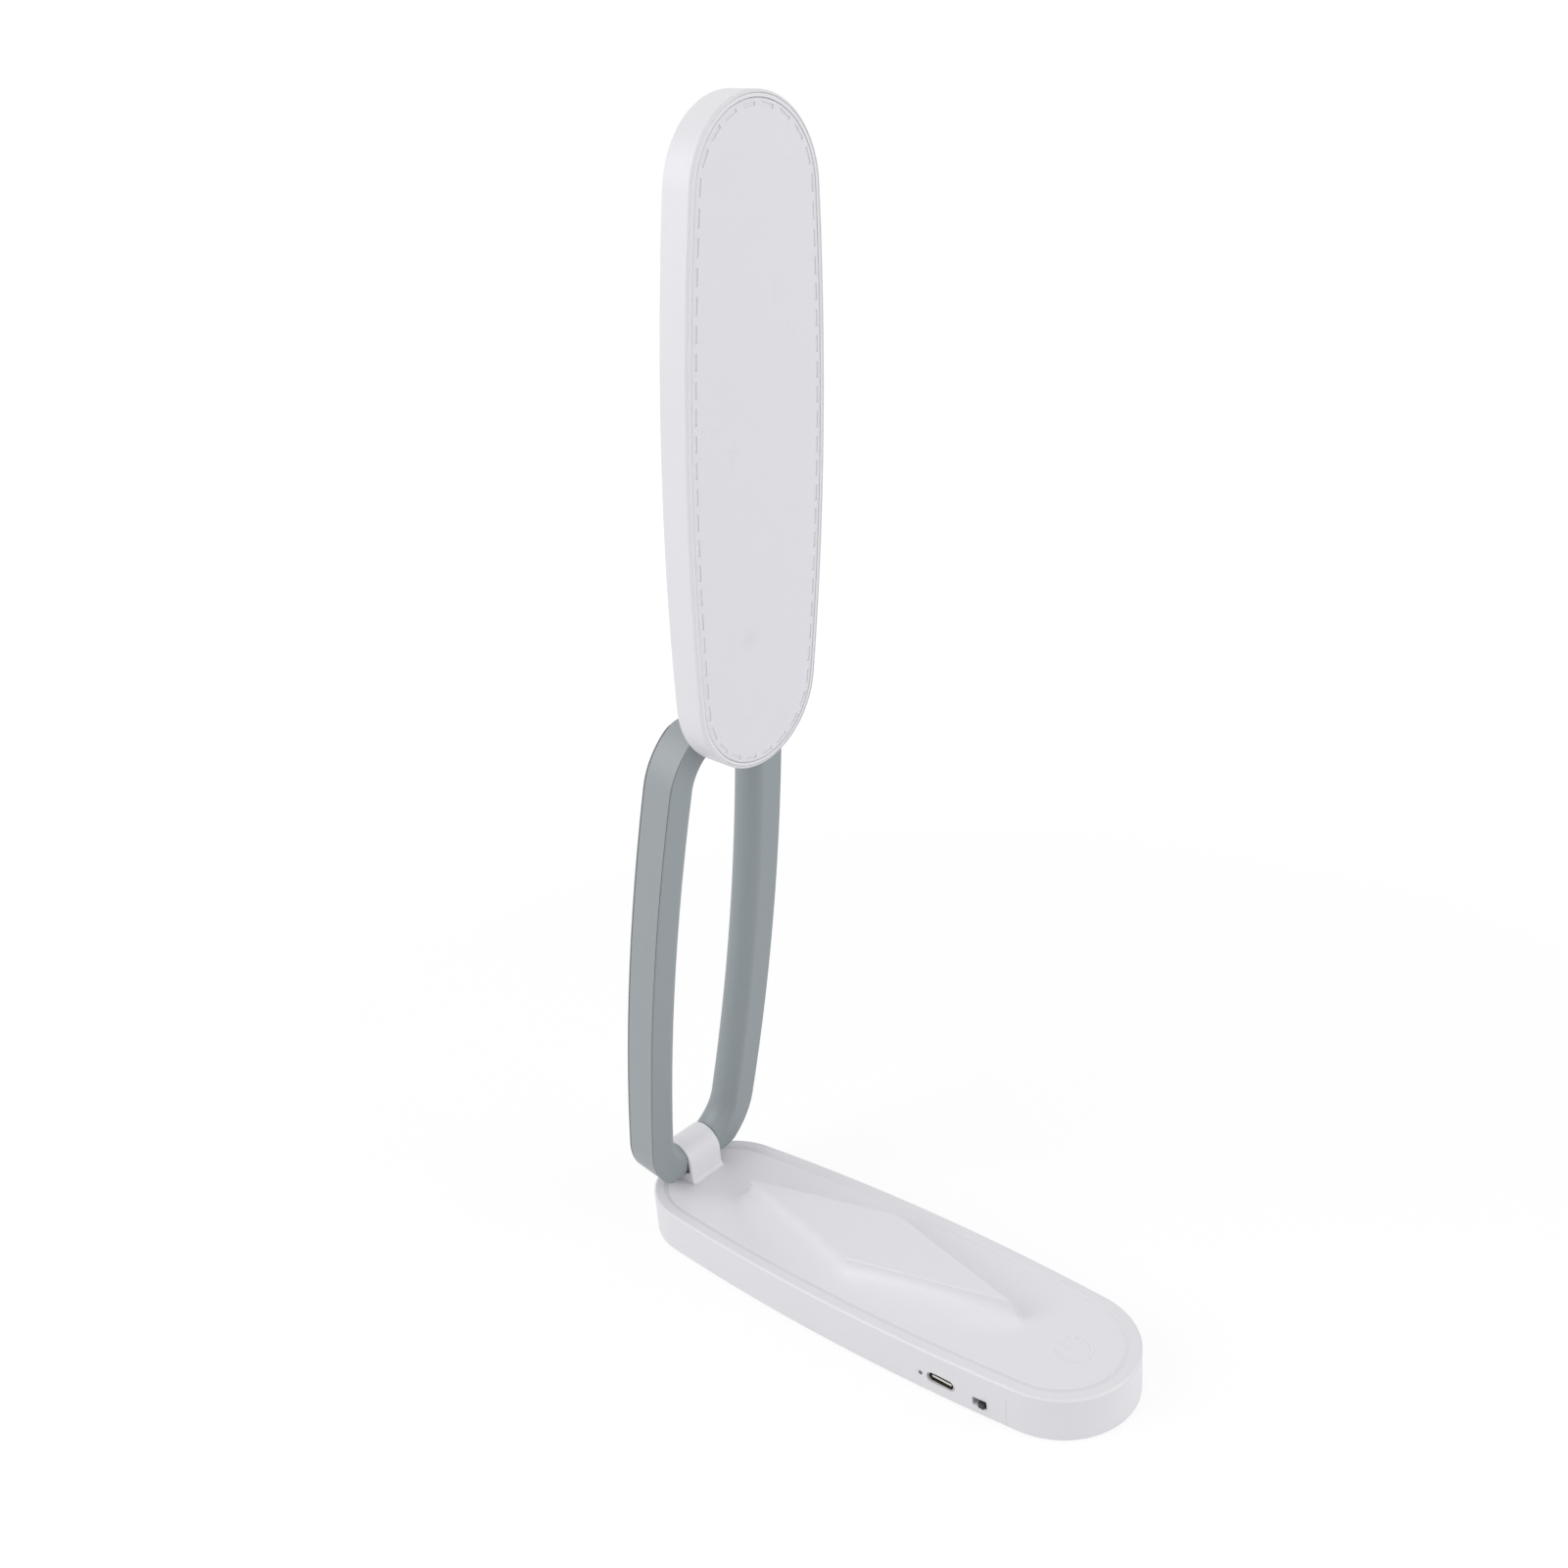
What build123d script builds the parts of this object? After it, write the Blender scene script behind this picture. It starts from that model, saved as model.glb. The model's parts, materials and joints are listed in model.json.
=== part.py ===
from build123d import *
import math
import os

# Folding LED desk lamp, millimetres, +Z up.
# Origin: centre of the base on the surface it stands on.
# +X runs from the hinge end of the base to the touch-key end.
# The charging socket and the slide switch are in the long side that faces -Y.

# Outline shared by the base, the arm loop and the head: round ends, bowed sides
body_length = 175.0
body_width = 53.3
side_bow = 2.95

# Base
base_height = 14.1
foot_stand = 0.4
shell_wall = 2.4
rim_width = 4.4
panel_recess = 0.6
panel_thickness = 1.8
ledge_width = 2.0
ledge_thickness = 1.6
cover_rebate = 1.4
cover_thickness = 1.8
cover_gap = 0.15
base_top_chamfer = 0.6
base_foot_chamfer = 0.3
rim_step_drop = 0.45
rim_step_width = 1.2

# Diamond plateau on the base's top panel
diamond_hinge_margin = 31.4
diamond_key_margin = 33.4
diamond_side_margin = 0.65
diamond_rise = 6.6
diamond_edge = 0.3
diamond_sink = 0.03
diamond_flare_x = 4.6
diamond_flare_y = 8.6
diamond_round = 5.0
diamond_skin = 1.8
diamond_sections = 6

# Hinges
hinge_back = 8.34
hinge_inset = 6.69
neck_radius = 5.3
running_gap = 0.05
seat_gap = 0.05
side_gap = 0.3
fold_gap = 0.3
cradle_half = 4.1
cradle_width = 12.6

# Clip cover over each neck and the spring strip inside it
saddle_width = 14.1
saddle_wall = 1.2
saddle_flare = 1.5
saddle_setback = 0.5
saddle_rim_chamfer = 0.3
tab_width = 3.0
tab_hook = 0.6
tab_offset = 4.7
clip_thickness = 0.6
clip_width = 12.0
clip_foot_length = 6.0
clip_boss_radius = 2.6
clip_boss_drop = 1.6

# Photographed pose, degrees from upright
arm_lean = 11.32
head_lean = 5.76

# Arm loop
arm_thickness = 11.02
arm_flat_width = 7.65
arm_bulge = 3.64
band_thickness = 1.8
band_lip = 0.35
band_gap = 0.1
band_side_gap = 0.18
band_end = 10.5
duct_half_width = 1.7
lead_width = 1.8
lead_thickness = 1.1
lead_gap = 0.3
lead_hole_radius = 1.8

# Head
head_thickness = 10.2
head_offset = 6.6
head_tail = 8.3
head_wall = 2.3
head_back_chamfer = 1.0
head_front_chamfer = 0.45
bezel_inset = 0.75
bezel_width = 1.0
bezel_depth = 2.4
bezel_flange = 0.7
bezel_flange_thickness = 0.8
bezel_sink = 0.1
face_gap = 0.1
diffuser_thickness = 1.4
diffuser_sink = 0.15
window_depth = 0.25
guide_gap = 0.3
guide_thickness = 2.0
reflector_thickness = 0.3
holder_wall = 1.6
holder_rib = 1.2
holder_rib_count = 4
holder_rib_pitch = 32.0
led_length = 4.3
led_width = 1.0
led_height = 1.2
led_pitch = 6.6
led_seat = 0.12
led_strip_thickness = 0.3

# Charging socket, charge light and slide switch in the -Y side wall
port_end_inset = 45.6
port_z = 5.7
port_width = 8.94
port_height = 3.2
port_length = 7.3
port_sheet = 0.3
port_clearance = 0.15
port_sink = 0.35
port_back_wall = 1.0
tongue_width = 6.6
tongue_thickness = 0.7
light_spacing = 6.7
light_radius = 0.6
switch_spacing = 12.5
switch_z = 4.45
switch_slot_width = 4.4
switch_slot_height = 2.5
switch_case = (8.4, 3.6, 2.9)
knob_width = 1.8
knob_height = 1.7
knob_reach = 0.9
knob_end_gap = 0.35
knob_play = 0.2

# Touch key
key_end_inset = 17.8
key_radius = 5.3
key_line = 0.7
key_rise = 0.12
key_opening = 70.0
key_pad_radius = 7.5
key_pad_thickness = 0.3

# Control board, battery and ballast
board_thickness = 1.0
board_end_margin = 5.9
board_depth = 25.8
board_wall_gap = 0.9
board_pillar_radius = 1.5
board_pillar_inset = 3.0
coil_size = (6.0, 6.0, 3.0)
chip_size = (5.0, 5.0, 1.0)
light_die = (1.6, 0.8)
switch_overhang = 0.4
light_setback = 1.0
ballast_thickness = 2.2
ballast_corner = 4.0
ballast_post_gap = 1.9
ballast_board_gap = 8.3
ballast_side_inset = 9.65
battery_end_inset = 6.0
battery_gap = 0.4
battery_chamfer = 1.2

# Screws and feet
hinge_post_inset = (30.0, 12.15)
key_post_inset = (21.5, 14.65)
post_radius = 2.6
screw_radius = 1.0
screw_length = 5.5
screw_head_radius = 1.9
screw_head_height = 0.9
screw_well_skin = 0.8
screw_clearance = 0.2
foot_end_inset = 13.5
foot_spread = 8.5
foot_radius = 4.0
foot_recess = 0.7
foot_gap = 0.1

# Derived heights and places
arm_half = arm_thickness / 2
arm_bar_width = arm_flat_width + arm_bulge
clip_inner = neck_radius + running_gap
clip_outer = clip_inner + clip_thickness
saddle_inner = clip_outer + seat_gap
saddle_outer = saddle_inner + saddle_wall
clip_screw_x = clip_outer + clip_foot_length / 2
clip_screw_length = clip_thickness + clip_boss_drop
hinge_spacing = body_length - 2 * hinge_inset
hinge_x = hinge_back - body_length / 2
hinge_z = base_height + arm_half + fold_gap
neck_half = saddle_width / 2 + side_gap
panel_top = base_height - panel_recess
panel_bottom = panel_top - panel_thickness
cover_top = foot_stand + cover_thickness
base_drop = hinge_z - panel_top
rim_drop = hinge_z - base_height
board_top = port_z - port_height / 2
board_bottom = board_top - board_thickness
head_front = head_offset + head_thickness
bezel_seat = head_front - bezel_depth
strip_inset = head_wall + seat_gap
led_inset = strip_inset + led_strip_thickness + led_seat + led_width / 2
guide_inset = led_inset + led_width / 2 + guide_gap
guide_front = head_front - diffuser_sink - diffuser_thickness - guide_gap
guide_back = guide_front - guide_thickness


# ---------------------------------------------------------------- outline
side_half_width = body_width / 2
end_radius = side_half_width - side_bow
end_x = body_length / 2 - end_radius
side_radius = (end_x**2 + side_half_width**2 - end_radius**2) / (2 * (side_half_width - end_radius))
side_y = side_half_width - side_radius
side_angle = math.degrees(math.atan2(end_x, -side_y))

# Centre, radius, first angle and sweep of the outline's four tangent arcs
outline_arcs = [
    ((end_x, 0), end_radius, side_angle - 90, 180 - 2 * side_angle),
    ((0, side_y), side_radius, 90 - side_angle, 2 * side_angle),
    ((-end_x, 0), end_radius, 90 + side_angle, 180 - 2 * side_angle),
    ((0, -side_y), side_radius, 270 - side_angle, 2 * side_angle),
]


def oval_edges(inset=0.0):
    """The four tangent arcs of the outline, drawn in by inset."""
    return [CenterArc(center, radius - inset, start, sweep) for center, radius, start, sweep in outline_arcs]


def wall_y(x, inset=0.0):
    """Half width of the outline at x, on its bowed side."""
    return side_y + math.sqrt((side_radius - inset) ** 2 - x**2)


def mirrored_places(end, inset):
    """The two places at one end of the base (-1 or 1), by their insets from its end and its widest point."""
    x = end * (body_length / 2 - inset[0])
    return [(x, side * (side_half_width - inset[1])) for side in (-1, 1)]


port_x = body_length / 2 - port_end_inset
light_x = port_x - light_spacing
switch_x = port_x + switch_spacing
key_x = body_length / 2 - key_end_inset
board_x = (light_x - board_end_margin, switch_x + board_end_margin)
board_edge_y = board_wall_gap - wall_y(board_x[1], shell_wall)
board_y = (board_edge_y, board_edge_y + board_depth)
post_places = mirrored_places(-1, hinge_post_inset) + mirrored_places(1, key_post_inset)
foot_inset = (foot_end_inset, side_half_width - foot_spread)
foot_places = mirrored_places(-1, foot_inset) + mirrored_places(1, foot_inset)
ballast_x = (post_places[0][0] + post_radius + ballast_post_gap, board_x[0] - ballast_board_gap)
ballast_y = (ballast_side_inset - side_half_width, side_half_width - ballast_side_inset)
ballast_top = cover_top + ballast_thickness


def slab(inset, low, high):
    """Solid of the outline between two heights."""
    return Pos(0, 0, low) * extrude(make_face(oval_edges(inset)), high - low)


def ring(outer_inset, inner_inset, low, high):
    """Closed band that follows the outline."""
    return slab(outer_inset, low, high) - slab(inner_inset, low, high)


def bar_loop(section):
    """Bar that follows the outline: a section, drawn outwards from x=0, turned about each arc's centre."""
    pieces = []
    for center, radius, start, sweep in outline_arcs:
        heading = math.radians(start)
        plane = Plane(
            origin=(*center, 0),
            x_dir=(math.cos(heading), math.sin(heading), 0),
            z_dir=(math.sin(heading), -math.cos(heading), 0),
        )
        pieces.append(revolve(plane * Pos(radius, 0) * section, Axis((*center, 0), (0, 0, 1)), sweep))
    return pieces[0] + pieces[1:]


def block(x_range, y_range, z_range):
    """Box from its limits along each axis."""
    size = [high - low for low, high in (x_range, y_range, z_range)]
    middle = [(high + low) / 2 for low, high in (x_range, y_range, z_range)]
    return Pos(*middle) * Box(*size)


def rod(radius, x, z, y_range):
    """Cylinder along Y."""
    length = y_range[1] - y_range[0]
    middle = (y_range[0] + y_range[1]) / 2
    return Pos(x, middle, z) * Rot(90, 0, 0) * Cylinder(radius, length)


def post(radius, place, z_range):
    """Cylinder along Z."""
    height = z_range[1] - z_range[0]
    return Pos(place[0], place[1], (z_range[0] + z_range[1]) / 2) * Cylinder(radius, height)


def edges_at(shape, axis, value):
    """Edges that lie wholly at one coordinate along an axis."""
    return shape.edges().filter_by_position(axis, value - 0.01, value + 0.01)


# ---------------------------------------------------------------- hinge parts
# Each hinge is drawn about its own axis (Y), with the part that carries it
# below and the clip bulging upwards.
def hinge_arch(inner, outer, width, front_drop, back_drop):
    """Inverted U: a half ring over the axis with two straight legs."""
    half = width / 2
    solid = rod(outer, 0, 0, (-half, half))
    solid += block((0, outer), (-half, half), (-front_drop, 0))
    solid += block((-outer, 0), (-half, half), (-back_drop, 0))
    solid -= rod(inner, 0, 0, (-half, half))
    low = -max(front_drop, back_drop, outer) - 1
    return solid - block((-inner, inner), (-half, half), (low, 0))


def saddle(drop, back_drop, slot_depth):
    """Clip cover over the arm's neck, with two hooked tabs on its front leg."""
    half = saddle_width / 2
    body = hinge_arch(saddle_inner, saddle_outer, saddle_width, drop, back_drop)
    rims = body.edges().filter_by(GeomType.CIRCLE).group_by(SortBy.RADIUS)[-1]
    body = chamfer(rims, saddle_rim_chamfer)
    flare = block((saddle_outer, saddle_outer + saddle_flare), (-half, half), (-drop, -drop + saddle_flare))
    flare -= rod(saddle_flare, saddle_outer + saddle_flare, -drop + saddle_flare, (-half, half))
    body += flare
    for side in (-1, 1):
        y_range = (side * tab_offset - tab_width / 2, side * tab_offset + tab_width / 2)
        tab_low = -drop - slot_depth - tab_hook
        body += block((saddle_inner, saddle_outer), y_range, (tab_low, -drop))
        hook = block((saddle_outer, saddle_outer + tab_hook), y_range, (tab_low, -drop - slot_depth))
        body += hook
    return body


def friction_clip(drop, back_drop, foot_depth):
    """Spring steel strip round the neck, with a foot held by one screw."""
    strip = hinge_arch(clip_inner, clip_outer, clip_width, drop + foot_depth, back_drop)
    half = clip_width / 2
    foot_low = -drop - foot_depth - clip_thickness
    foot_x = (clip_inner, clip_outer + clip_foot_length)
    foot = block(foot_x, (-half, half), (foot_low, foot_low + clip_thickness))
    hole = post(screw_radius + screw_clearance, (clip_screw_x, 0), (foot_low - 1, 0))
    return strip + foot - hole


def cradle(drop):
    """Raised seat under the neck, with a hole for the lead."""
    half = cradle_width / 2
    seat = block((-cradle_half, cradle_half), (-half, half), (-drop, -neck_radius / 2))
    seat -= rod(clip_inner, 0, 0, (-half, half))
    return seat - post(lead_hole_radius, (0, 0), (-drop, 0))


def clip_screw(drop, foot_depth):
    """Screw through the clip's foot, its head below."""
    foot_low = -drop - foot_depth - clip_thickness
    head = post(screw_head_radius, (clip_screw_x, 0), (foot_low - screw_head_height, foot_low))
    return head + post(screw_radius, (clip_screw_x, 0), (foot_low, foot_low + clip_screw_length))


def hinge_floor_cuts(drop, skin):
    """Slots for the tabs and the clip, and the screw hole, through the floor of a hinge."""
    cuts = []
    reach = tab_width / 2 + seat_gap
    for tab_y in (-tab_offset, tab_offset):
        cuts.append(
            block(
                (saddle_inner - seat_gap, saddle_outer + seat_gap),
                (tab_y - reach, tab_y + reach),
                (-drop - skin - 1, -drop + 1),
            )
        )
    half = clip_width / 2 + seat_gap
    cuts.append(
        block((clip_inner - seat_gap, clip_outer + seat_gap), (-half, half), (-drop - skin - 1, -drop + 1))
    )
    return cuts


# ---------------------------------------------------------------- base
hinge = Pos(hinge_x, 0, hinge_z)


def base_block():
    """Outer form of the base, before it is hollowed."""
    body = slab(0, foot_stand, base_height)
    body = chamfer(edges_at(body, Axis.Z, base_height), base_top_chamfer)
    return chamfer(edges_at(body, Axis.Z, foot_stand), base_foot_chamfer)


def make_base_shell():
    """Side wall and rim in one moulding, open below, with a ledge for the top panel."""
    ledge_low = panel_bottom - ledge_thickness
    shell = base_block()
    shell -= slab(cover_rebate, foot_stand - 1, cover_top)
    shell -= slab(shell_wall, cover_top, ledge_low)
    shell -= slab(rim_width + ledge_width, ledge_low, panel_bottom)
    shell -= slab(rim_width, panel_bottom, base_height + 1)
    step_edges = edges_at(shell, Axis.Z, base_height).filter_by(lambda edge: on_outline(edge, rim_width))
    rim = shell.faces().filter_by(Plane.XY).sort_by(Axis.Z)[-1]
    shell = chamfer(step_edges, rim_step_width, rim_step_drop, reference=rim)
    return shell - wall_openings()


def on_outline(edge, inset):
    """Whether an edge lies on the outline drawn in by inset."""
    return any(abs(edge.radius - (radius - inset)) < 0.01 for _, radius, _, _ in outline_arcs)


def port_solid(growth, inner_y, outer_y):
    """Stadium section of the charging socket between two places along Y."""
    plane = Plane(origin=(port_x, inner_y, port_z), x_dir=(1, 0, 0), z_dir=(0, -1, 0))
    outline = SlotOverall(port_width + 2 * growth, port_height + 2 * growth)
    return extrude(plane * outline, inner_y - outer_y)


def wall_openings():
    """Cuts for the socket, the charge light and the switch knob."""
    outer = -body_width / 2 - 1
    socket = port_solid(port_clearance, -wall_y(port_x) + shell_wall + 1, outer)
    light = rod(light_radius + seat_gap, light_x, port_z, (outer, -wall_y(light_x) + shell_wall + 1))
    slot = block(
        (switch_x - switch_slot_width / 2, switch_x + switch_slot_width / 2),
        (outer, -wall_y(switch_x) + shell_wall + 1),
        (switch_z - switch_slot_height / 2, switch_z + switch_slot_height / 2),
    )
    return [socket, light, slot]


diamond_center_x = (diamond_hinge_margin - diamond_key_margin) / 2
diamond_half_length = (body_length - diamond_hinge_margin - diamond_key_margin) / 2 - diamond_flare_x
diamond_half_width = side_half_width - rim_width - diamond_side_margin - diamond_flare_y


def diamond_wire(step):
    """Rounded rhombus at one step of the cove, 0 at its foot and 1 at its top."""
    angle = math.radians(90 * step)
    spread = 1 - math.sin(angle)
    rise = (diamond_rise - diamond_edge + diamond_sink) * (1 - math.cos(angle)) - diamond_sink
    length = diamond_half_length + diamond_flare_x * spread
    width = diamond_half_width + diamond_flare_y * spread
    radius = diamond_round + diamond_flare_y * spread
    slope = math.atan2(width, length)
    tangent = radius * math.tan(slope)
    reach_x = tangent * math.cos(slope)
    reach_y = width - tangent * math.sin(slope)
    crown = width - radius / math.cos(slope) + radius
    face = make_face(
        [
            Line((-length, 0), (-reach_x, -reach_y)),
            ThreePointArc((-reach_x, -reach_y), (0, -crown), (reach_x, -reach_y)),
            Line((reach_x, -reach_y), (length, 0)),
            Line((length, 0), (reach_x, reach_y)),
            ThreePointArc((reach_x, reach_y), (0, crown), (-reach_x, reach_y)),
            Line((-reach_x, reach_y), (-length, 0)),
        ]
    )
    return Pos(diamond_center_x, 0, panel_top + rise) * face


def make_base_top_panel():
    """Recessed top panel with the diamond plateau, the hinge cradle and the screw posts."""
    panel = slab(rim_width + seat_gap, panel_bottom, panel_top)
    last = diamond_sections - 1
    panel += loft([diamond_wire(i / last) for i in range(diamond_sections)])
    panel += extrude(diamond_wire(1), diamond_edge, taper=45)
    inner_scale = 1 - 2 * diamond_skin / diamond_half_width
    pocket = make_face(
        Polyline(
            (-diamond_half_length * inner_scale, 0),
            (0, -diamond_half_width * inner_scale),
            (diamond_half_length * inner_scale, 0),
            (0, diamond_half_width * inner_scale),
            close=True,
        )
    )
    pocket_height = panel_thickness + diamond_rise - diamond_skin
    panel -= Pos(diamond_center_x, 0, panel_bottom) * extrude(pocket, pocket_height)
    panel += (hinge * cradle(base_drop)) & slab(rim_width + seat_gap, panel_top, hinge_z)
    clip_x = hinge_x + clip_screw_x
    boss_low = panel_bottom - clip_boss_drop
    panel += post(clip_boss_radius, (clip_x, 0), (boss_low, panel_bottom))
    panel -= hinge * post(lead_hole_radius, (0, 0), (-base_drop - panel_thickness, -base_drop))
    panel -= [hinge * cut for cut in hinge_floor_cuts(base_drop, panel_thickness)]
    panel -= post(screw_radius, (clip_x, 0), (boss_low - 1, panel_bottom + 0.2))
    for place in post_places:
        panel += post(post_radius, place, (cover_top, panel_bottom))
        panel -= post(screw_radius, place, (cover_top, panel_bottom - 1))
    return panel


screw_seat = cover_top - screw_well_skin


def make_base_bottom_cover():
    """Flat cover let into the shell, with screw wells, foot recesses and board pads."""
    cover = slab(cover_rebate + cover_gap, foot_stand, cover_top)
    for place in post_places:
        cover -= post(screw_head_radius + screw_clearance, place, (foot_stand - 1, screw_seat))
        cover -= post(screw_radius + screw_clearance, place, (screw_seat, cover_top))
    for place in foot_places:
        cover -= post(foot_radius + foot_gap, place, (foot_stand - 1, foot_stand + foot_recess))
    for x in (board_x[0] + board_pillar_inset, board_x[1] - board_pillar_inset):
        cover += post(board_pillar_radius, (x, board_y[1] - board_pillar_inset), (cover_top, board_bottom))
    return cover


def make_base_screws():
    """Four pan head screws that hold the cover to the panel's posts."""
    screws = []
    for place in post_places:
        head = post(screw_head_radius, place, (screw_seat - screw_head_height, screw_seat))
        screws.append(head + post(screw_radius, place, (screw_seat, screw_seat + screw_length)))
    return Compound(screws)


def make_rubber_feet():
    """Four round pads let into the cover."""
    return Compound([post(foot_radius, place, (0, foot_stand + foot_recess)) for place in foot_places])


def make_base_hinge_saddle():
    """White clip over the arm's lower neck, its back leg on the rim."""
    clip = hinge * saddle(base_drop, rim_drop + base_top_chamfer, panel_thickness)
    clip &= slab(saddle_setback, 0, hinge_z + saddle_outer + 1)
    half = saddle_width / 2
    back_leg = block((hinge_x - saddle_outer, hinge_x - saddle_inner), (-half, half), (0, base_height))
    return clip - (back_leg & base_block())


def make_base_friction_clip():
    """Spring steel strip inside the lower saddle."""
    return hinge * friction_clip(base_drop, rim_drop, panel_thickness + clip_boss_drop)


def make_base_clip_screw():
    """Screw up into the boss under the panel."""
    return hinge * clip_screw(base_drop, panel_thickness + clip_boss_drop)


def make_touch_mark():
    """Raised power sign on the panel: an open ring with a bar in its gap."""
    ring_face = Circle(key_radius) - Circle(key_radius - key_line)
    gap = key_radius * math.sin(math.radians(key_opening / 2)) * 2
    ring_face -= Pos(-key_radius, 0) * Rectangle(key_radius, gap)
    bar = Pos(-key_radius / 2, 0) * Rectangle(key_radius, key_line)
    return Pos(key_x, 0, panel_top) * extrude(ring_face + bar, key_rise)


def make_touch_sensor_pad():
    """Metal disc under the panel, below the power sign."""
    return post(key_pad_radius, (key_x, 0), (panel_bottom - key_pad_thickness, panel_bottom))


def make_battery_pack():
    """Pouch cell with bevelled long edges, between the ballast plate and the panel."""
    cell_x = (ballast_x[0] + battery_end_inset, ballast_x[1] - battery_end_inset)
    cell = block(cell_x, ballast_y, (ballast_top, panel_bottom - battery_gap))
    return chamfer(cell.edges().filter_by(Axis.X), battery_chamfer)


def make_ballast_plate():
    """Steel plate on the cover that keeps the lamp upright."""
    plate = block(ballast_x, ballast_y, (cover_top, ballast_top))
    return chamfer(plate.edges().filter_by(Axis.Z), ballast_corner)


def centered(place, size, low):
    """Box on a surface, from its centre in plan, its size and the height that it stands at."""
    return Pos(place[0], place[1], low + size[2] / 2) * Box(*size)


light_y = board_y[0] + light_setback + light_die[1] / 2
switch_y = board_y[0] - switch_overhang + switch_case[1] / 2
switch_low = switch_z - switch_case[2] / 2


def make_control_board():
    """Circuit board beside the wall, with its coil, chip, charge light and the switch's notch."""
    board = block(board_x, board_y, (board_bottom, board_top))
    middle_x = (board_x[0] + board_x[1]) / 2
    board += centered((middle_x, 0), coil_size, board_top)
    board += centered((middle_x + coil_size[0] * 1.5, 0), chip_size, board_top)
    die_height = port_z + light_radius - board_top
    board += centered((light_x, light_y), (*light_die, die_height), board_top)
    notch = (switch_case[0] + 2 * knob_play, switch_case[1] + 2 * knob_play, switch_case[2])
    return board - centered((switch_x, switch_y), notch, switch_low)


def make_charge_light_pipe():
    """Clear rod from the board's charge light to the outside of the wall."""
    return rod(light_radius, light_x, port_z, (-wall_y(light_x), light_y - light_die[1] / 2))


def make_usb_c_socket():
    """Metal socket with its open mouth to the wall and a tongue inside."""
    mouth = -wall_y(port_x) + port_sink
    back = mouth + port_length
    tongue = block(
        (port_x - tongue_width / 2, port_x + tongue_width / 2),
        (mouth + port_sink, back - port_back_wall),
        (port_z - tongue_thickness / 2, port_z + tongue_thickness / 2),
    )
    return port_solid(0, back, mouth) - port_solid(-port_sheet, back - port_back_wall, mouth - 1) + tongue


def make_slide_switch_body():
    """Case of the slide switch in the board's notch, with a slot for its knob."""
    case = centered((switch_x, switch_y), switch_case, switch_low)
    front = switch_y - switch_case[1] / 2
    reach = switch_slot_width / 2
    slot_half = knob_height / 2 + knob_play
    slot_depth = knob_width + knob_play
    slot_z = (switch_z - slot_half, switch_z + slot_half)
    return case - block((switch_x - reach, switch_x + reach), (front - 1, front + slot_depth), slot_z)


def make_slide_switch_knob():
    """Black knob, at the end of its slot nearest the touch key."""
    right = switch_x + switch_slot_width / 2 - knob_end_gap
    tip = -wall_y(switch_x) - knob_reach
    root = switch_y - switch_case[1] / 2 + knob_width
    knob_z = (switch_z - knob_height / 2, switch_z + knob_height / 2)
    knob = block((right - knob_width, right), (tip, root), knob_z)
    return fillet(edges_at(knob, Axis.Y, tip), knob_play)


# ---------------------------------------------------------------- arm
# Drawn flat: x from the lower hinge axis to the upper one, z to its front.
arm_plane = Plane(
    origin=(hinge_x, 0, hinge_z),
    x_dir=(math.sin(math.radians(arm_lean)), 0, math.cos(math.radians(arm_lean))),
    z_dir=(math.cos(math.radians(arm_lean)), 0, -math.sin(math.radians(arm_lean))),
)
arm_center = Pos(hinge_spacing / 2, 0, 0)
duct_depth = hinge_inset + lead_width


def arm_envelope():
    """Flat slab between the hinge axes with a full round at each end."""
    body = block((0, hinge_spacing), (-body_width, body_width), (-arm_half, arm_half))
    for x in (0, hinge_spacing):
        body += rod(arm_half, x, 0, (-body_width, body_width))
    return body


def neck_zones(half_width):
    """Space round both hinge axes, half_width to each side."""
    reach = arm_bar_width + end_radius
    return [
        block((x - reach, x + reach), (-half_width, half_width), (-arm_thickness, arm_thickness))
        for x in (0, hinge_spacing)
    ]


def arm_section():
    """Half section of the bar: flat on the outer side, half an ellipse on the inner side."""
    bulge = EllipticalCenterArc((-arm_flat_width, 0), arm_bulge, arm_half, 90, arc_size=180)
    return make_face(
        [
            bulge,
            Line((-arm_flat_width, -arm_half), (0, -arm_half)),
            Line((0, -arm_half), (0, arm_half)),
            Line((0, arm_half), (-arm_flat_width, arm_half)),
        ]
    )


def lead_strip(gap):
    """Flat strip along one side of the loop, from neck to neck, grown by gap all round."""
    half_width = lead_width / 2 + gap
    half_height = lead_thickness / 2 + gap
    strip = arm_center * ring(hinge_inset - half_width, hinge_inset + half_width, -half_height, half_height)
    return strip & block((0, hinge_spacing), (0, body_width), (-arm_half, arm_half))


def make_arm_frame():
    """Moulded loop, flat outside and round inside, with a turned neck at each end."""
    loop = (arm_center * bar_loop(arm_section())) & arm_envelope()
    channel_half = arm_half - band_lip
    channel = arm_center * ring(-1, band_thickness + band_gap, -channel_half, channel_half)
    duct = arm_center * ring(-1, duct_depth, -duct_half_width, duct_half_width)
    for zone in neck_zones(band_end - band_gap):
        channel -= zone
        duct -= zone
    loop -= channel
    loop -= duct
    for zone in neck_zones(neck_half):
        loop -= zone
    for x in (0, hinge_spacing):
        loop += rod(neck_radius, x, 0, (-neck_half - side_gap, neck_half + side_gap))
    loop -= lead_strip(lead_gap)
    exit_y = (-lead_gap, lead_width)
    exit_z = (-lead_thickness / 2 - lead_gap, lead_thickness / 2 + lead_gap)
    for x_range in ((-neck_radius, lead_width), (hinge_spacing - lead_width, hinge_spacing + neck_radius)):
        loop -= block(x_range, exit_y, exit_z)
    return arm_plane.location * loop


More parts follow.
